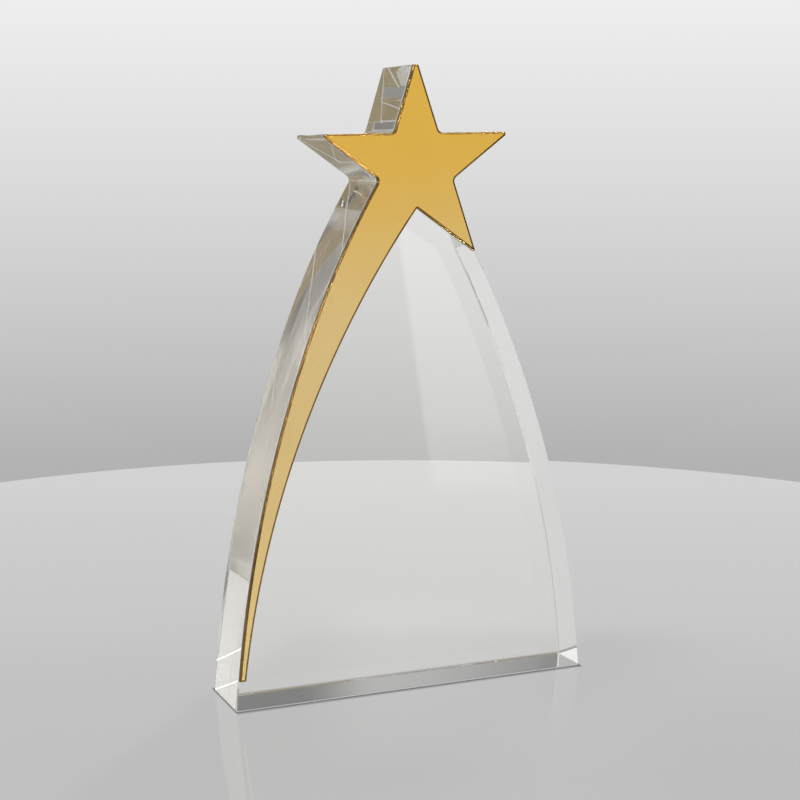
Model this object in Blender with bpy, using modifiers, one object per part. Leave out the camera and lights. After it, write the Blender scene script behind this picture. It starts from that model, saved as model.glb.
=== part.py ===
"""Star trophy: a clear crystal slab with a gold star and tail bonded to its front face.

Units are metres, +Z is up and the front faces -Y. The origin is on the ground, under the middle
of the object. Outlines are drawn in the XZ plane, as (x, z) points.
"""

from math import acos, atan2, cos, dist, pi, radians, sin, sqrt, tan

import bpy

MM = 0.001

# Overall sizes
FOOT_WIDTH = 124.0 * MM
TOTAL_DEPTH = 25.4 * MM
TOTAL_HEIGHT = 203.2 * MM

# The stack from the front: plate, gap, film, gap, block
PLATE_THICKNESS = 0.6 * MM
FILM_THICKNESS = 0.2 * MM
GAP = 0.3 * MM
BLOCK_THICKNESS = TOTAL_DEPTH - PLATE_THICKNESS - FILM_THICKNESS - 2 * GAP
FRONT = -TOTAL_DEPTH / 2

# Star: tip 0 points up, the tips run clockwise, and notch 0 follows tip 0
TIP_STEP = radians(72)
STAR_RADIUS = 34.4 * MM
NOTCH_RADIUS = 13.2 * MM
STAR_TILT = radians(1.0)
TOP_TRIM = 2.5 * MM
ARM_TRIM = 1.6 * MM
LOWER_TRIM = 0.8 * MM
NOTCH_FILLET = 1.8 * MM
STAR_CENTRE = (0.0, TOTAL_HEIGHT - (STAR_RADIUS - TOP_TRIM) * cos(STAR_TILT))

# Long curves: three arcs, whose centres lie this far below the ground. Above the shoulder the left
# side goes on as a tighter arc
CENTRE_DEPTH = 27.5 * MM
LEFT_SIDE_RADIUS = 418.0 * MM
SHOULDER_HEIGHT = 120.0 * MM
SHOULDER_RADIUS = 290.0 * MM
RIGHT_SIDE_RADIUS = 372.0 * MM
TAIL_INNER_RADIUS = 313.0 * MM
TAIL_END_HEIGHT = 10.0 * MM
TAIL_END_WIDTH = 2.2 * MM

# Edges and resolution
BLOCK_CHAMFER = 0.25 * MM
PLATE_CHAMFER = 0.15 * MM
SHARP_ANGLE = radians(24)
FLAT_ANGLE = radians(0.1)
LONG_STEPS = 32
SIDE_STEPS = 24
SHOULDER_STEPS = 10
FILLET_STEPS = 8
WELD_DISTANCE = 0.01 * MM


def clear_scene():
    for obj in list(bpy.data.objects):
        bpy.data.objects.remove(obj, do_unlink=True)


def star_point(radius, angle):
    """A point this far from the star's centre, at this angle clockwise from straight up."""
    turned = angle - STAR_TILT
    return (STAR_CENTRE[0] + radius * sin(turned), STAR_CENTRE[1] + radius * cos(turned))


def tip(index):
    return star_point(STAR_RADIUS, index * TIP_STEP)


def notch(index):
    return star_point(NOTCH_RADIUS, (index + 0.5) * TIP_STEP)


def direction(start, end):
    return atan2(end[1] - start[1], end[0] - start[0])


def towards(start, end, distance):
    """The point this far from start, on the line to end."""
    angle = direction(start, end)
    return (start[0] + distance * cos(angle), start[1] + distance * sin(angle))


def half_opening(before, corner, after):
    """Half the angle between the two lines that meet at a corner."""
    return acos(cos(direction(corner, before) - direction(corner, after))) / 2


def arc(centre, start, end, steps):
    """Points from start to end round the centre, the short way."""
    radius = dist(centre, start)
    first = direction(centre, start)
    turn = (direction(centre, end) - first + pi) % (2 * pi) - pi
    angles = [first + turn * step / steps for step in range(steps + 1)]
    return [(centre[0] + radius * cos(a), centre[1] + radius * sin(a)) for a in angles]


def fillet(before, corner, after):
    """Points of the round in a notch."""
    half = half_opening(before, corner, after)
    start = towards(corner, before, NOTCH_FILLET / tan(half))
    end = towards(corner, after, NOTCH_FILLET / tan(half))
    middle = ((start[0] + end[0]) / 2, (start[1] + end[1]) / 2)
    centre = towards(corner, middle, NOTCH_FILLET / sin(half))
    return arc(centre, start, end, FILLET_STEPS)


def blunt(before, point, after, trim):
    """The two corners of a tip that is cut off square, this far from its point."""
    along = trim / cos(half_opening(before, point, after))
    return [towards(point, before, along), towards(point, after, along)]


def curve_centre(foot, radius, side):
    """The centre of a long curve through foot: side is 1 for a centre to its right, -1 to its left."""
    return (foot[0] + side * sqrt(radius**2 - (foot[1] + CENTRE_DEPTH) ** 2), -CENTRE_DEPTH)


def at_height(centre, radius, side, height):
    """The point of a long curve at this height."""
    return (centre[0] - side * sqrt(radius**2 - (height + CENTRE_DEPTH) ** 2), height)


def meet(start, end, centre, radius):
    """Where the line from start through end crosses a circle, at the crossing nearer to end."""
    angle = direction(start, end)
    along = (centre[0] - start[0]) * cos(angle) + (centre[1] - start[1]) * sin(angle)
    half_chord = sqrt(radius**2 - dist(centre, start) ** 2 + along**2)
    crossings = [towards(start, end, along + half_chord), towards(start, end, along - half_chord)]
    return min(crossings, key=lambda point: dist(point, end))


LEFT_FOOT = (-FOOT_WIDTH / 2, 0.0)
RIGHT_FOOT = (FOOT_WIDTH / 2, 0.0)
LEFT_CENTRE = curve_centre(LEFT_FOOT, LEFT_SIDE_RADIUS, 1)
RIGHT_CENTRE = curve_centre(RIGHT_FOOT, RIGHT_SIDE_RADIUS, -1)
SHOULDER = at_height(LEFT_CENTRE, LEFT_SIDE_RADIUS, 1, SHOULDER_HEIGHT)
SHOULDER_CENTRE = towards(SHOULDER, LEFT_CENTRE, SHOULDER_RADIUS)
TAIL_TOP = meet(tip(4), notch(3), SHOULDER_CENTRE, SHOULDER_RADIUS)


def star_outline(side_point):
    """Clockwise from the notch above the left side, over the top, to the notch above the right."""
    points = fillet(side_point, TAIL_TOP, tip(4))
    points += blunt(notch(3), tip(4), notch(4), ARM_TRIM)
    points += fillet(tip(4), notch(4), tip(0))
    points += blunt(notch(4), tip(0), notch(0), TOP_TRIM)
    points += fillet(tip(0), notch(0), tip(1))
    points += blunt(notch(0), tip(1), notch(1), ARM_TRIM)
    points += fillet(tip(1), notch(1), tip(2))
    return points


def left_side(start):
    """From start up the left side, to just below the notch at its top."""
    lower = arc(LEFT_CENTRE, start, SHOULDER, SIDE_STEPS)
    upper = arc(SHOULDER_CENTRE, SHOULDER, TAIL_TOP, SHOULDER_STEPS)
    return lower + upper[1:-1]


def block_outline():
    left = left_side(LEFT_FOOT)
    right_top = at_height(RIGHT_CENTRE, RIGHT_SIDE_RADIUS, -1, tip(2)[1])
    right = arc(RIGHT_CENTRE, right_top, RIGHT_FOOT, LONG_STEPS)
    return left + star_outline(left[-1]) + right


def plate_outline():
    end_left = at_height(LEFT_CENTRE, LEFT_SIDE_RADIUS, 1, TAIL_END_HEIGHT)
    end_right = (end_left[0] + TAIL_END_WIDTH, TAIL_END_HEIGHT)
    outer = left_side(end_left)
    lower_tip = blunt(notch(1), tip(2), notch(2), LOWER_TRIM)
    inner_centre = curve_centre(end_right, TAIL_INNER_RADIUS, 1)
    crotch = meet(tip(2), notch(2), inner_centre, TAIL_INNER_RADIUS)
    inner = arc(inner_centre, crotch, end_right, LONG_STEPS)
    return outer + star_outline(outer[-1]) + lower_tip + inner


def material(name, color, metallic, roughness, transmission=0.0):
    made = bpy.data.materials.new(name)
    made.use_nodes = True
    made.diffuse_color = (*color, 1.0)
    shader = made.node_tree.nodes["Principled BSDF"]
    shader.inputs["Base Color"].default_value = (*color, 1.0)
    shader.inputs["Metallic"].default_value = metallic
    shader.inputs["Roughness"].default_value = roughness
    shader.inputs["Transmission Weight"].default_value = transmission
    shader.inputs["IOR"].default_value = 1.5
    return made


def collection(name):
    made = bpy.data.collections.new(name)
    bpy.context.scene.collection.children.link(made)
    return made


def extruded(name, points, front, thickness, look, target):
    """A flat outline in the XZ plane, extruded from y = front towards the back."""
    curve = bpy.data.curves.new(name, "CURVE")
    curve.dimensions = "2D"
    curve.fill_mode = "BOTH"
    curve.extrude = thickness / 2
    spline = curve.splines.new("POLY")
    spline.points.add(len(points) - 1)
    for place, (x, z) in zip(spline.points, points):
        place.co = (x, z, 0.0, 1.0)
    spline.use_cyclic_u = True
    curve.materials.append(look)
    obj = bpy.data.objects.new(name, curve)
    obj.rotation_euler = (pi / 2, 0.0, 0.0)
    obj.location = (0.0, front + thickness / 2, 0.0)
    target.objects.link(obj)
    weld = obj.modifiers.new("Weld caps", "WELD")
    weld.merge_threshold = WELD_DISTANCE
    whole = obj.modifiers.new("One face a side", "DECIMATE")
    whole.decimate_type = "DISSOLVE"
    whole.angle_limit = FLAT_ANGLE
    return obj


def chamfer(obj, width):
    bevel = obj.modifiers.new("Polished edges", "BEVEL")
    bevel.width = width
    bevel.segments = 1
    bevel.limit_method = "ANGLE"
    bevel.angle_limit = SHARP_ANGLE


def crystal_block(target):
    look = material("crystal", (0.96, 0.97, 0.97), 0.0, 0.02, transmission=1.0)
    front = TOTAL_DEPTH / 2 - BLOCK_THICKNESS
    obj = extruded("crystal_block", block_outline(), front, BLOCK_THICKNESS, look, target)
    chamfer(obj, BLOCK_CHAMFER)


def bond_film(target):
    look = material("bond", (0.46, 0.33, 0.12), 0.0, 0.35)
    front = FRONT + PLATE_THICKNESS + GAP
    extruded("bond_film", plate_outline(), front, FILM_THICKNESS, look, target)


def gold_star_plate(target):
    look = material("gold", (0.68, 0.42, 0.09), 1.0, 0.22)
    obj = extruded("gold_star_plate", plate_outline(), FRONT, PLATE_THICKNESS, look, target)
    chamfer(obj, PLATE_CHAMFER)


def main():
    clear_scene()
    parts = collection("star_trophy")
    crystal_block(parts)
    bond_film(parts)
    gold_star_plate(parts)


main()
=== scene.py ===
"""Looks for the star trophy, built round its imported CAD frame.

The pieces are the crystal slab, the gold star with its tail, and the layer of glue between them.
They stand on a pale round table top in a plain studio. Units are metres, +Z is up and the front
faces -Y.
"""

from collections import namedtuple
from math import atan2, cos, degrees, pi, radians, sin, tan

import bpy
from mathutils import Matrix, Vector


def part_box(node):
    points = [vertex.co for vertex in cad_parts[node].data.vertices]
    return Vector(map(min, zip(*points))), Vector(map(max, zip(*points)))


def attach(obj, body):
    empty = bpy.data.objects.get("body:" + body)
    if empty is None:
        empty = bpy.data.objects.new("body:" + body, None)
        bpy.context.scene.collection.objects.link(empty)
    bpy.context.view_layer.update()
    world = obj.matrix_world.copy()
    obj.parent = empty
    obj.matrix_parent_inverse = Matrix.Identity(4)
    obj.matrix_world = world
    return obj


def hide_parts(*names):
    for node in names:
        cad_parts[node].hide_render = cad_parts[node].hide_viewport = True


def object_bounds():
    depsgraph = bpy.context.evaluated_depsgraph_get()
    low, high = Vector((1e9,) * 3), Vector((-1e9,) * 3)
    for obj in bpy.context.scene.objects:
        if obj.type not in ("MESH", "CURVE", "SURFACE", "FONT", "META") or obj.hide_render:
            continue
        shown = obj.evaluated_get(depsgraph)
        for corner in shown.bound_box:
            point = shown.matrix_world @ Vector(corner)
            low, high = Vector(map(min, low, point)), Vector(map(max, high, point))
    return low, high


MM = 0.001
MICRON = 0.001 * MM

# Camera: where it stands, how far it looks down and how far it is turned to the right of +Y
CAMERA_PLACE = (-211.5 * MM, -491.7 * MM, 175.8 * MM)
CAMERA_DIP = radians(8.58)
CAMERA_TURN = radians(23.21)
LENS = 73.756
SENSOR = 36.0

# Table top: its radius, how far its middle lies behind the trophy as the camera sees it, and how
# far its surface is below the trophy's foot
TABLE_RADIUS = 358 * MM
TABLE_BACK = 49 * MM
TABLE_THICKNESS = 12 * MM
TABLE_EDGE = 1.5 * MM
TABLE_GAP = 0.1 * MM
TABLE_SIDES = 256

# Table's colour: paler from front to back as painted light, between these distances behind its
# middle as the camera sees it. The mottle moves the fade by up to half of the last value, either
# way
TABLE_FRONT_COLOUR = (0.772, 0.772, 0.772, 1.0)
TABLE_BACK_COLOUR = (0.94, 0.94, 0.94, 1.0)
TABLE_FADE = (-130 * MM, 290 * MM)
TABLE_FADE_UNEVEN = 60 * MM
TABLE_ROUGHNESS = 0.04
TABLE_IOR = 1.2

# Contact shade on the table round the foot: how far it reaches at the sides, how far at the front
# and back, and how wide its edge under the foot is
CONTACT_SIDE = 0.9 * MM
CONTACT_FRONT = 3.2 * MM
CONTACT_EDGE = 0.1 * MM
CONTACT_COLOUR = (0.15, 0.145, 0.15, 1.0)

# Pieces. The chamfers of the crystal's foot are only this share of the height of its others
CRYSTAL_CHAMFER = 0.35 * MM
FOOT_CHAMFER_SHARE = 0.5
PLATE_BEVEL_WIDTH = 0.65 * MM
PLATE_BEVEL_DEPTH = 0.32 * MM
PLATE_BACK_CHAMFER = 0.05 * MM
GLUE_INSET = 0.05 * MM
GLUE_SINK = 0.02 * MM
CORNER_CUT = 0.6 * MM
CORNER_TURN = radians(15)
SMOOTH_ANGLE = radians(20)
SAME_LEVEL = 0.01 * MM
FLAT_NORMAL = 0.99

# Crystal: a trace of haze keeps it from being quite clear, and a faint warm tint grows with depth
CRYSTAL_COLOUR = (0.99, 0.99, 0.985, 1.0)
CRYSTAL_CLEARNESS = 0.992
CRYSTAL_IOR = 1.5
CRYSTAL_TINT = (0.55, 0.4, 0.1, 1.0)
CRYSTAL_TINT_DENSITY = 1.1

# Gold: deep on the star and pale on the tail, fading between these heights. The pale gold is a
# painted sheen, for the light that the tail reflects from below. The clouds move the fade by up
# to half of the last value, either way
DEEP_GOLD = (0.93, 0.565, 0.097, 1.0)
PALE_GOLD = (0.94, 0.69, 0.30, 1.0)
DEEP_GOLD_HEIGHT = 182 * MM
PALE_GOLD_HEIGHT = 113 * MM
GOLD_FADE_UNEVEN = 14 * MM

# Noise scales: how many spots of a pattern lie along a metre
CRYSTAL_WAVES = 60.0
GOLD_CLOUDS = 60.0
GOLD_GRAIN = 2500.0
TABLE_MOTTLE = 3.0

# Patchy surfaces: the scale of the noise, the part of its range that is used, and the colours at
# the low and the high end of that part
Patchy = namedtuple("Patchy", "scale ends colours")
# Cut edge: its dark bronze is painted shade, a dark outline round the gold; the patches vary at
# random
SHADED_CUT_EDGE = Patchy(700.0, (0.35, 0.65), ((0.25, 0.14, 0.03, 1.0), (0.36, 0.21, 0.05, 1.0)))
PLATE_BACK = Patchy(120.0, (0.3, 0.7), ((0.45, 0.34, 0.11, 1.0), (0.57, 0.45, 0.17, 1.0)))
# Glue rim: nearly black, a painted shade along the plate's edge; the patches vary at random
SHADED_GLUE_RIM = Patchy(900.0, (0.35, 0.7), ((0.035, 0.02, 0.008, 1.0), (0.10, 0.06, 0.02, 1.0)))

# Light that enters a side face is reflected inside the slab up to about 25 times
LIGHT_BOUNCES = 32

# Each sky is a list of (elevation in degrees, brightness as the 8-bit grey a camera records)
BACK_SKY = ((-90, 176), (-10.6, 178), (-5, 203), (0, 222), (5, 238), (8, 222), (12, 200), (16, 196),
            (18, 172), (35, 168), (45, 245), (90, 255))
FRONT_SKY = ((-90, 176), (-15, 200), (0, 228), (20, 235), (45, 222), (60, 222), (90, 255))
# The front sky turns into the back sky as a direction's Y goes from the first to the second value
SKY_FADE = (-0.3, 0.6)

# A panel adds its light to the sky. Angles are in degrees: sides are azimuths from +Y towards +X,
# heights are elevations, and fades are how far the edges of each spread. With slant, the sides move
# by that many degrees for each degree of elevation. A panel with negative light is dark, and takes
# that share of the sky away
Panel = namedtuple("Panel", "sides side_fades heights height_fades slant light")
PANELS = (
    Panel((-30, -22), (3, 4), (19, 25), (2.5, 4), 0.0, 0.45),
    Panel((-36, -29), (4, 3), (8, 15.5), (4, 2.5), 0.0, -0.3),
    Panel((47.4, 58), (1.0, 6), (17.0, 22), (0.8, 4), -1.64, -0.74),
    Panel((34, 62), (4, 8), (20, 38), (3, 4), 0.0, -0.4),
    Panel((22.5, 22.5), (3, 9), (16.5, 20), (1.5, 1.5), 0.0, 0.27),
    Panel((-10, -4), (3, 3), (20.5, 24), (2, 2), 0.0, 0.3),
    Panel((166, 178), (4, 4), (18, 25), (3, 3), 0.0, -0.82),
    Panel((85, 118), (14, 14), (-40, 30), (10, 10), 0.0, -0.7),
    Panel((-172, -128), (8, 10), (-40, 30), (10, 10), 0.0, -0.6),
)

# Softboxes that light one piece only. Each is given by its left and right sides, in degrees to the
# right of -Y, and its lowest and highest elevation. Its fades are shares of its width, at the left
# and the right, and of its height, at the bottom and the top. Tilt leans it to the left, or to the
# right where it stands behind the trophy
Softbox = namedtuple("Softbox", "sides heights fades tilt light")
CRYSTAL_SOFTBOXES = (
    Softbox((22.9, 39.0), (-12.4, 10), (0.015, 0.9, 0.195, 0.7), 8.15, 1.05),
    Softbox((70, 140), (44, 60), (0.15, 0.15, 0.15, 0.15), 0.0, 2.0),
    Softbox((161.6, 164.9), (7.9, 23.8), (0.2, 0.2, 0.17, 0.17), -57.6, 0.4),
)
GOLD_SOFTBOXES = (
    Softbox((-24, 9), (-58, -32), (0.3, 0.3, 0.3, 0.3), 0.0, 2.4),
    Softbox((20, 60), (34, 60), (0.3, 0.3, 0.3, 0.3), 0.0, 1.3),
    Softbox((-36, -14), (-8, 26), (0.3, 0.3, 0.3, 0.3), 0.0, 1.3),
    Softbox((4, 34), (-36, -15), (0.2, 0.2, 0.3, 0.4), 0.0, 0.56),
)
SOFTBOX_DISTANCE = 10.0
# The most bounces after which a path can still meet each crystal softbox. Three are enough for the
# first one's reflections in the slab's front and rear faces, and leave out its longer ways inside
CRYSTAL_SOFTBOX_BOUNCES = (3, 32, 32)

# Key lamp in front: it lights only the haze on the crystal's outer surface, and reflections don't
# show it
KEY_PLACE = (0.35, -1.4, 0.5)
KEY_SIZE = 0.8
KEY_POWER = 225.0

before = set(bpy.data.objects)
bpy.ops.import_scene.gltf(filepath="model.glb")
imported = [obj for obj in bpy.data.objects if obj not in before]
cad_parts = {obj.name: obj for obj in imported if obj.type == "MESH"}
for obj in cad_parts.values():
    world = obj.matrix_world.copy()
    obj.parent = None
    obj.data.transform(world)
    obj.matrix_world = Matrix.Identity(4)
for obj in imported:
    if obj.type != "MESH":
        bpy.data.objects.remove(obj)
CAD_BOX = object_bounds()


# --- outlines -----------------------------------------------------------------------------------


def in_microns(point):
    return tuple(round(value / MICRON) for value in point)


def outline(node):
    """The outline of a chamfered CAD plate as (x, z) points in order, anticlockwise from the front.

    The full outline is the second ring of points from the front, behind the front chamfer.
    """
    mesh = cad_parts[node].data
    levels = sorted({round(v.co.y, 6) for v in mesh.vertices})
    links = {}
    places = {}
    for edge in mesh.edges:
        ends = [mesh.vertices[i].co for i in edge.vertices]
        if any(abs(end.y - levels[1]) > SAME_LEVEL for end in ends):
            continue
        first, second = (in_microns((end.x, end.z)) for end in ends)
        if first == second:
            continue
        links.setdefault(first, set()).add(second)
        links.setdefault(second, set()).add(first)
        places[first] = (ends[0].x, ends[0].z)
        places[second] = (ends[1].x, ends[1].z)
    start = min(places)
    path = [start, min(links[start])]
    while path[-1] != start:
        path.append(next(n for n in links[path[-1]] if n != path[-2]))
    points = [places[p] for p in path[:-1]]
    return points if area(points) > 0 else points[::-1]


def area(points):
    """The area inside an outline, positive where it runs anticlockwise."""
    pairs = zip(points, points[1:] + points[:1])
    return sum(a[0] * b[1] - b[0] * a[1] for a, b in pairs) / 2


def heading(start, end):
    return atan2(end[1] - start[1], end[0] - start[0])


def turn(before, point, after):
    """How far the outline turns at a point, positive to the left."""
    return (heading(point, after) - heading(before, point) + pi) % (2 * pi) - pi


def crossing(a, b, c, d):
    """Where the line through a and b meets the line through c and d."""
    along, other = Vector(b) - Vector(a), Vector(d) - Vector(c)
    share = (Vector(c) - Vector(a)).cross(other) / along.cross(other)
    return tuple(Vector(a) + share * along)


def sharpened(points):
    """The outline with each cut corner brought back to a point."""
    count = len(points)
    made = []
    skip = False
    for i, point in enumerate(points):
        if skip:
            skip = False
            continue
        before, after, later = points[i - 1], points[(i + 1) % count], points[(i + 2) % count]
        short = (Vector(after) - Vector(point)).length < CORNER_CUT
        turns = (turn(before, point, after), turn(point, after, later))
        if short and min(turns) > CORNER_TURN:
            made.append(crossing(before, point, after, later))
            skip = True
        else:
            made.append(point)
    return made


def inset(points, distance):
    """The outline moved inwards by a distance, with mitred corners."""
    moved = []
    for i, point in enumerate(points):
        before, after = points[i - 1], points[(i + 1) % len(points)]
        first, second = heading(before, point), heading(point, after)
        normals = Vector((-sin(first), cos(first))) + Vector((-sin(second), cos(second)))
        moved.append(tuple(Vector(point) + normals * (2 * distance / normals.length_squared)))
    return moved


# --- meshes -------------------------------------------------------------------------------------


def loft(name, rings):
    """A closed solid through rings of (x, y, z) points, the first one in front, with flat ends."""
    count = len(rings[0])
    faces = [list(range(count))]
    for level in range(len(rings) - 1):
        low, high = level * count, (level + 1) * count
        for i in range(count):
            j = (i + 1) % count
            faces.append([low + j, low + i, high + i, high + j])
    faces.append([(len(rings) - 1) * count + i for i in reversed(range(count))])
    mesh = bpy.data.meshes.new(name)
    mesh.from_pydata([point for ring in rings for point in ring], [], faces)
    mesh.validate()
    mesh.shade_smooth()
    mesh.set_sharp_from_angle(angle=SMOOTH_ANGLE)
    obj = bpy.data.objects.new(name, mesh)
    bpy.context.scene.collection.objects.link(obj)
    return obj


def plate(name, points, profile):
    """A flat plate in the XZ plane. profile is a list of (inset, y) from its front to its back."""
    rings = []
    for distance, y in profile:
        rings.append([(x, y, z) for x, z in inset(points, distance)])
    return loft(name, rings)


# --- materials ----------------------------------------------------------------------------------


def linear(grey):
    """The linear brightness of an 8-bit grey."""
    share = grey / 255
    return share / 12.92 if share <= 0.04045 else ((share + 0.055) / 1.055) ** 2.4


class Nodes:
    """A short way to write a node tree."""

    def __init__(self, tree):
        self.tree = tree
        self.tree.nodes.clear()

    def add(self, kind, inputs=(), **settings):
        """A node of this kind. inputs pairs a socket's name or number with a value or a socket."""
        node = self.tree.nodes.new(kind)
        for name, value in settings.items():
            setattr(node, name, value)
        for name, value in dict(inputs).items():
            if isinstance(value, bpy.types.NodeSocket):
                self.tree.links.new(value, node.inputs[name])
            else:
                node.inputs[name].default_value = value
        return node

    def noise(self, place, scale, detail):
        return self.add(
            "ShaderNodeTexNoise", {"Vector": place, "Scale": scale, "Detail": detail}
        ).outputs["Fac"]

    def math(self, operation, first, second=0.0):
        return self.add("ShaderNodeMath", {0: first, 1: second}, operation=operation).outputs[0]

    def vector(self, operation, inputs):
        return self.add("ShaderNodeVectorMath", inputs, operation=operation)

    def uneven(self, length, noise, reach):
        """The length, up to half of reach longer or shorter where the noise is high or low."""
        change = self.math("MULTIPLY", self.math("SUBTRACT", noise, 0.5), reach)
        return self.math("ADD", length, change)

    def mapped(self, value, start, end, low, high, smooth=False):
        """value from start to end becomes low to high, and stays there outside."""
        return self.add(
            "ShaderNodeMapRange",
            {"Value": value, "From Min": start, "From Max": end, "To Min": low, "To Max": high},
            interpolation_type="SMOOTHSTEP" if smooth else "LINEAR",
        ).outputs[0]

    def mixed(self, share, first, second):
        node = self.add("ShaderNodeMix", {"Factor": share}, data_type="RGBA")
        for name, value in (("A_Color", first), ("B_Color", second)):
            socket = next(s for s in node.inputs if s.identifier == name)
            if isinstance(value, bpy.types.NodeSocket):
                self.tree.links.new(value, socket)
            else:
                socket.default_value = value
        return next(s for s in node.outputs if s.identifier == "Result_Color")

    def band(self, value, ends, fades):
        """1 where value lies between the ends, fading to 0 outside them."""
        rise = self.mapped(value, ends[0] - fades[0], ends[0], 0.0, 1.0, smooth=True)
        fall = self.mapped(value, ends[1], ends[1] + fades[1], 1.0, 0.0, smooth=True)
        return self.math("MULTIPLY", rise, fall)

    def bump(self, height, strength, distance):
        return self.add(
            "ShaderNodeBump", {"Height": height, "Strength": strength, "Distance": distance}
        ).outputs[0]


def material(name):
    """A new material, its Nodes and its Principled shader, already joined to the output."""
    made = bpy.data.materials.new(name)
    made.use_nodes = True
    nodes = Nodes(made.node_tree)
    shader = nodes.add("ShaderNodeBsdfPrincipled")
    nodes.output = nodes.add("ShaderNodeOutputMaterial", {"Surface": shader.outputs[0]})
    return made, nodes, shader


def object_place(nodes):
    return nodes.add("ShaderNodeTexCoord").outputs["Object"]


def crystal_material():
    """Polished crystal: slow waves left by the polishing, and a trace of haze."""
    made, nodes, shader = material("polished_crystal")
    waves = nodes.noise(object_place(nodes), CRYSTAL_WAVES, 1.0)
    shader.inputs["Base Color"].default_value = CRYSTAL_COLOUR
    shader.inputs["Transmission Weight"].default_value = CRYSTAL_CLEARNESS
    shader.inputs["IOR"].default_value = CRYSTAL_IOR
    shader.inputs["Roughness"].default_value = 0.0
    nodes.tree.links.new(nodes.bump(waves, 0.02, 0.05 * MM), shader.inputs["Normal"])
    tint = nodes.add(
        "ShaderNodeVolumeAbsorption", {"Color": CRYSTAL_TINT, "Density": CRYSTAL_TINT_DENSITY}
    )
    nodes.tree.links.new(tint.outputs[0], nodes.output.inputs["Volume"])
    return made


def gold_material():
    """Satin gold leaf, deep on the star, and paler down the tail as a painted sheen."""
    made, nodes, shader = material("satin_gold")
    place = object_place(nodes)
    height = nodes.add("ShaderNodeSeparateXYZ", {0: place}).outputs["Z"]
    cloud = nodes.noise(place, GOLD_CLOUDS, 3.0)
    grain = nodes.noise(place, GOLD_GRAIN, 1.0)
    height = nodes.uneven(height, cloud, GOLD_FADE_UNEVEN)
    # The pale gold low down is a painted sheen
    share = nodes.mapped(height, PALE_GOLD_HEIGHT, DEEP_GOLD_HEIGHT, 0.0, 1.0, smooth=True)
    colour = nodes.mixed(share, PALE_GOLD, DEEP_GOLD)
    fine = nodes.mapped(grain, 0.3, 0.7, 0.985, 1.015)
    colour = nodes.vector("SCALE", {0: colour, "Scale": fine}).outputs["Vector"]
    nodes.tree.links.new(colour, shader.inputs["Base Color"])
    shader.inputs["Metallic"].default_value = 1.0
    roughness = nodes.mapped(cloud, 0.3, 0.7, 0.24, 0.32)
    nodes.tree.links.new(roughness, shader.inputs["Roughness"])
    nodes.tree.links.new(nodes.bump(grain, 0.015, 0.01 * MM), shader.inputs["Normal"])
    return made


def patchy_material(name, look):
    """A material coloured in patches, with its Nodes, its shader and the noise of the patches."""
    made, nodes, shader = material(name)
    noise = nodes.noise(object_place(nodes), look.scale, 3.0)
    share = nodes.mapped(noise, *look.ends, 0.0, 1.0)
    nodes.tree.links.new(nodes.mixed(share, *look.colours), shader.inputs["Base Color"])
    return made, nodes, shader, noise


def shaded_gold_edge_material():
    """The cut edge of the plate: polished, coloured dark bronze as painted shade, and patchy."""
    made, nodes, shader, edge_patches = patchy_material("cut_gold_edge_painted_shade", SHADED_CUT_EDGE)
    shader.inputs["Metallic"].default_value = 1.0
    roughness = nodes.mapped(edge_patches, *SHADED_CUT_EDGE.ends, 0.09, 0.14)
    nodes.tree.links.new(roughness, shader.inputs["Roughness"])
    return made


def glue_material():
    """What shows through the crystal: the pale back of the plate behind clear glue."""
    made, _, shader, _ = patchy_material("plate_back_through_glue", PLATE_BACK)
    shader.inputs["Roughness"].default_value = 0.4
    return made


def shaded_glue_edge_material():
    """The rim of the glue: painted shade, dark along the plate's edge and patchy."""
    made, _, shader, _ = patchy_material("glue_rim_painted_shade", SHADED_GLUE_RIM)
    shader.inputs["Roughness"].default_value = 0.45
    return made


def foot_shade(nodes):
    """1 on the table just outside the trophy's foot, fading to 0 further out and under it."""
    low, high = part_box("crystal_block")
    place = nodes.add("ShaderNodeNewGeometry").outputs["Position"]
    split = nodes.add("ShaderNodeSeparateXYZ", {0: place})
    near = under = 1.0
    for axis, fade in ((0, CONTACT_SIDE), (1, CONTACT_FRONT)):
        value = split.outputs[axis]
        outer = (low[axis], high[axis])
        inner = (low[axis] + CONTACT_EDGE, high[axis] - CONTACT_EDGE)
        near = nodes.math("MULTIPLY", near, nodes.band(value, outer, (fade, fade)))
        inside = nodes.band(value, inner, (CONTACT_EDGE, CONTACT_EDGE))
        under = nodes.math("MULTIPLY", under, inside)
    return nodes.math("SUBTRACT", near, under)


def table_material():
    """Smooth and pale, paler to the back as painted light, a slow mottle, dark shade round the
    foot.
    """
    made, nodes, shader = material("pale_table")
    place = object_place(nodes)
    mottle = nodes.noise(place, TABLE_MOTTLE, 4.0)
    back = (sin(CAMERA_TURN), cos(CAMERA_TURN), 0.0)
    along = nodes.vector("DOT_PRODUCT", {0: place, 1: back}).outputs["Value"]
    along = nodes.uneven(along, mottle, TABLE_FADE_UNEVEN)
    # Paler towards the back: painted light
    share = nodes.mapped(along, *TABLE_FADE, 0.0, 1.0)
    colour = nodes.mixed(share, TABLE_FRONT_COLOUR, TABLE_BACK_COLOUR)
    colour = nodes.mixed(foot_shade(nodes), colour, CONTACT_COLOUR)
    nodes.tree.links.new(colour, shader.inputs["Base Color"])
    shader.inputs["Roughness"].default_value = TABLE_ROUGHNESS
    shader.inputs["IOR"].default_value = TABLE_IOR
    return made


# --- pieces -------------------------------------------------------------------------------------


def paint_rim(piece):
    """Gives every face but the flat front and back the piece's second material."""
    for face in piece.data.polygons:
        face.material_index = 0 if abs(face.normal.y) > FLAT_NORMAL else 1


def flatten_foot(piece, height):
    """Flattens the foot's chamfers, by bringing the points below this height nearer the ground."""
    for vertex in piece.data.vertices:
        if vertex.co.z < height:
            vertex.co.z *= FOOT_CHAMFER_SHARE


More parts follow.
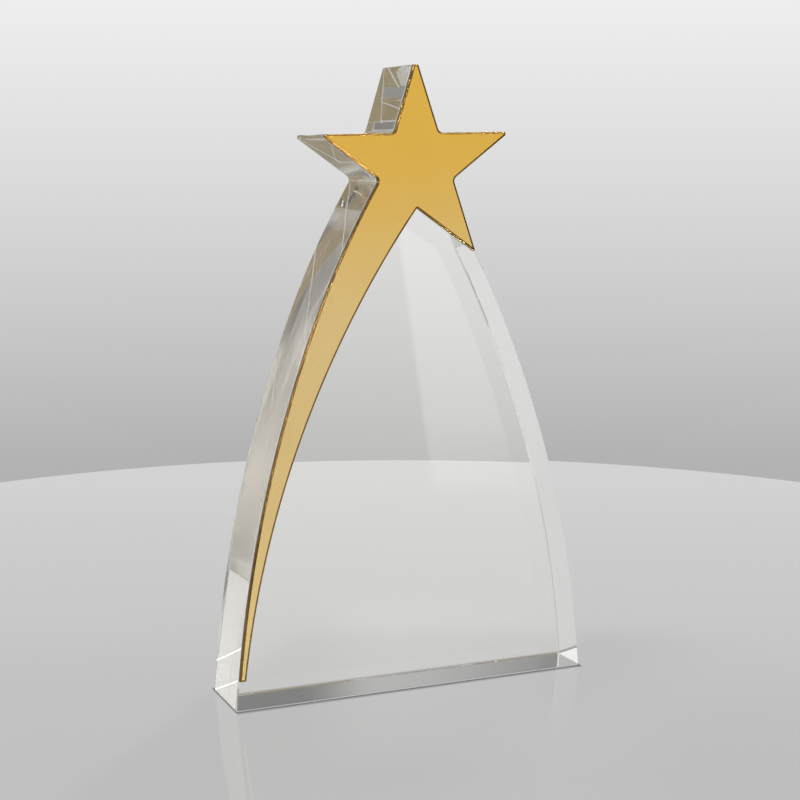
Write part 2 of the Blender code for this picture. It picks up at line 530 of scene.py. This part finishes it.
def add_crystal():
    """The slab. It casts no shadow, because a clear block would otherwise cast a black one."""
    low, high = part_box("crystal_block")
    cut = CRYSTAL_CHAMFER
    profile = ((cut, low.y), (0.0, low.y + cut), (0.0, high.y - cut), (cut, high.y))
    piece = plate("crystal_slab", outline("crystal_block"), profile)
    flatten_foot(piece, 2 * cut)
    piece.data.materials.append(crystal_material())
    piece.visible_shadow = False
    piece.visible_diffuse = False
    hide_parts("crystal_block")
    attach(piece, "root")
    return piece


def add_gold(points):
    low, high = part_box("gold_star_plate")
    profile = (
        (PLATE_BEVEL_WIDTH, low.y),
        (0.0, low.y + PLATE_BEVEL_DEPTH),
        (0.0, high.y - PLATE_BACK_CHAMFER),
        (PLATE_BACK_CHAMFER, high.y),
    )
    piece = plate("gold_star_and_tail", points, profile)
    piece.data.materials.append(gold_material())
    piece.data.materials.append(shaded_gold_edge_material())
    paint_rim(piece)
    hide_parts("gold_star_plate")
    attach(piece, "root")
    return piece


def add_glue(points):
    """The glue fills the space from the plate's back to the crystal, and wets both."""
    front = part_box("gold_star_plate")[1].y - GLUE_SINK
    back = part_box("crystal_block")[0].y + GLUE_SINK
    profile = ((GLUE_INSET, front), (GLUE_INSET, back))
    piece = plate("glue_layer", points, profile)
    piece.data.materials.append(glue_material())
    piece.data.materials.append(shaded_glue_edge_material())
    paint_rim(piece)
    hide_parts("bond_film")
    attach(piece, "root")
    return piece


# --- studio -------------------------------------------------------------------------------------


def add_camera():
    data = bpy.data.cameras.new("camera")
    data.lens = LENS
    data.sensor_width = SENSOR
    camera = bpy.data.objects.new("camera", data)
    camera.location = CAMERA_PLACE
    camera.rotation_euler = (pi / 2 - CAMERA_DIP, 0.0, -CAMERA_TURN)
    bpy.context.scene.collection.objects.link(camera)
    bpy.context.scene.camera = camera


def add_table():
    profile = (
        (TABLE_RADIUS - TABLE_EDGE, -TABLE_THICKNESS),
        (TABLE_RADIUS, -TABLE_THICKNESS + TABLE_EDGE),
        (TABLE_RADIUS, -TABLE_EDGE),
        (TABLE_RADIUS - TABLE_EDGE, 0.0),
    )
    rings = []
    for radius, height in profile:
        angles = [-2 * pi * i / TABLE_SIDES for i in range(TABLE_SIDES)]
        rings.append([(radius * cos(a), radius * sin(a), height) for a in angles])
    table = loft("table_top", rings)
    table.location = (
        TABLE_BACK * sin(CAMERA_TURN),
        TABLE_BACK * cos(CAMERA_TURN),
        CAD_BOX[0].z - TABLE_GAP,
    )
    table.data.materials.append(table_material())


def sky_ramp(nodes, elevation, stops):
    """Brightness by elevation in degrees."""
    ramp = nodes.add("ShaderNodeValToRGB", {"Fac": nodes.mapped(elevation, -90, 90, 0.0, 1.0)})
    elements = ramp.color_ramp.elements
    while len(elements) < len(stops):
        elements.new(0.5)
    for element, (height, grey) in zip(elements, stops):
        element.position = (height + 90) / 180
        element.color = (linear(grey), linear(grey), linear(grey), 1.0)
    return ramp.outputs["Color"]


def panel_mask(nodes, azimuth, elevation, panel):
    """How much light the panel adds or takes away in each direction."""
    shifted = nodes.math("SUBTRACT", azimuth, nodes.math("MULTIPLY", elevation, panel.slant))
    across = nodes.band(shifted, panel.sides, panel.side_fades)
    up = nodes.band(elevation, panel.heights, panel.height_fades)
    return nodes.math("MULTIPLY", nodes.math("MULTIPLY", across, up), abs(panel.light))


def add_world():
    """The two skies and the panels, fixed in the world's directions."""
    world = bpy.data.worlds.new("studio")
    world.use_nodes = True
    nodes = Nodes(world.node_tree)
    direction = nodes.add("ShaderNodeTexCoord").outputs["Generated"]
    split = nodes.add("ShaderNodeSeparateXYZ", {0: direction})
    x, y, z = split.outputs
    azimuth = nodes.math("MULTIPLY", nodes.math("ARCTAN2", x, y), degrees(1))
    elevation = nodes.math("MULTIPLY", nodes.math("ARCSINE", z), degrees(1))
    behind = nodes.mapped(y, *SKY_FADE, 0.0, 1.0, smooth=True)
    front_sky = sky_ramp(nodes, elevation, FRONT_SKY)
    back_sky = sky_ramp(nodes, elevation, BACK_SKY)
    sky = nodes.mixed(behind, front_sky, back_sky)
    light = nodes.add("ShaderNodeSeparateColor", {0: sky}).outputs["Red"]
    for panel in PANELS:
        mask = panel_mask(nodes, azimuth, elevation, panel)
        if panel.light > 0:
            light = nodes.math("ADD", light, mask)
        else:
            light = nodes.math("MULTIPLY", light, nodes.math("SUBTRACT", 1.0, mask))
    colour = nodes.add("ShaderNodeCombineColor", {0: light, 1: light, 2: light}).outputs[0]
    shader = nodes.add("ShaderNodeBackground", {"Color": colour, "Strength": 1.0})
    nodes.add("ShaderNodeOutputWorld", {"Surface": shader.outputs[0]})
    bpy.context.scene.world = world


def add_lamp(name, place, aim, width, height, receivers):
    """An area lamp that the camera can't see and that lights only the receivers."""
    data = bpy.data.lights.new(name, "AREA")
    data.shape = "RECTANGLE"
    data.size = width
    data.size_y = height
    lamp = bpy.data.objects.new(name, data)
    lamp.location = place
    lamp.rotation_euler = (Vector(aim) - Vector(place)).to_track_quat("-Z", "Y").to_euler()
    lamp.visible_camera = False
    lamp.light_linking.receiver_collection = receivers
    bpy.context.scene.collection.objects.link(lamp)
    return lamp


def add_softbox(name, box, aim, receivers):
    """A lamp with soft edges. Its power goes with its area, so its brightness doesn't."""
    across = radians(sum(box.sides) / 2)
    up = radians(sum(box.heights) / 2)
    direction = Vector((sin(across) * cos(up), -cos(across) * cos(up), sin(up)))
    width = 2 * SOFTBOX_DISTANCE * tan(radians(box.sides[1] - box.sides[0]) / 2)
    height = 2 * SOFTBOX_DISTANCE * tan(radians(box.heights[1] - box.heights[0]) / 2)
    place = aim + direction * SOFTBOX_DISTANCE
    lamp = add_lamp(name, place, aim, width, height, receivers)
    lamp.rotation_euler.rotate_axis("Z", radians(box.tilt))
    lamp.data.energy = pi * width * height
    lamp.data.use_nodes = True
    nodes = Nodes(lamp.data.node_tree)
    spot = nodes.add("ShaderNodeNewGeometry").outputs["Parametric"]
    split = nodes.add("ShaderNodeSeparateXYZ", {0: spot})
    left, right, bottom, top = box.fades
    across_mask = nodes.band(split.outputs["X"], (left, 1 - right), (left, right))
    up_mask = nodes.band(split.outputs["Y"], (bottom, 1 - top), (bottom, top))
    strength = nodes.math("MULTIPLY", nodes.math("MULTIPLY", across_mask, up_mask), box.light)
    emission = nodes.add("ShaderNodeEmission", {"Strength": strength})
    nodes.add("ShaderNodeOutputLight", {"Surface": emission.outputs[0]})
    return lamp


def only(piece):
    """A collection of this piece alone, for lamps that light nothing else."""
    receivers = bpy.data.collections.new(f"only_{piece.name}")
    receivers.objects.link(piece)
    return receivers


def shadowless(lamp):
    """The lamp shines through whatever is in its way."""
    lamp.data.use_shadow = False
    lamp.data.cycles.use_multiple_importance_sampling = False


def add_lamps(crystal, gold):
    aim = Vector(CAD_BOX[0]).lerp(Vector(CAD_BOX[1]), 0.5)
    crystal_only, gold_only = only(crystal), only(gold)
    for number, box in enumerate(CRYSTAL_SOFTBOXES):
        lamp = add_softbox(f"crystal_softbox_{number}", box, aim, crystal_only)
        lamp.data.cycles.max_bounces = CRYSTAL_SOFTBOX_BOUNCES[number]
    for number, box in enumerate(GOLD_SOFTBOXES):
        shadowless(add_softbox(f"gold_softbox_{number}", box, aim, gold_only))
    key_lamp = add_lamp("key", KEY_PLACE, aim, KEY_SIZE, KEY_SIZE, crystal_only)
    key_lamp.data.energy = KEY_POWER
    shadowless(key_lamp)
    key_lamp.data.cycles.max_bounces = 0
    key_lamp.visible_glossy = False
    key_lamp.visible_transmission = False


def set_bounces():
    cycles = bpy.context.scene.cycles
    cycles.max_bounces = LIGHT_BOUNCES
    cycles.glossy_bounces = LIGHT_BOUNCES
    cycles.transmission_bounces = LIGHT_BOUNCES


bpy.context.scene.view_settings.view_transform = "Standard"
set_bounces()
add_camera()
add_table()
add_world()
star = sharpened(outline("gold_star_plate"))
add_glue(star)
add_lamps(add_crystal(), add_gold(star))
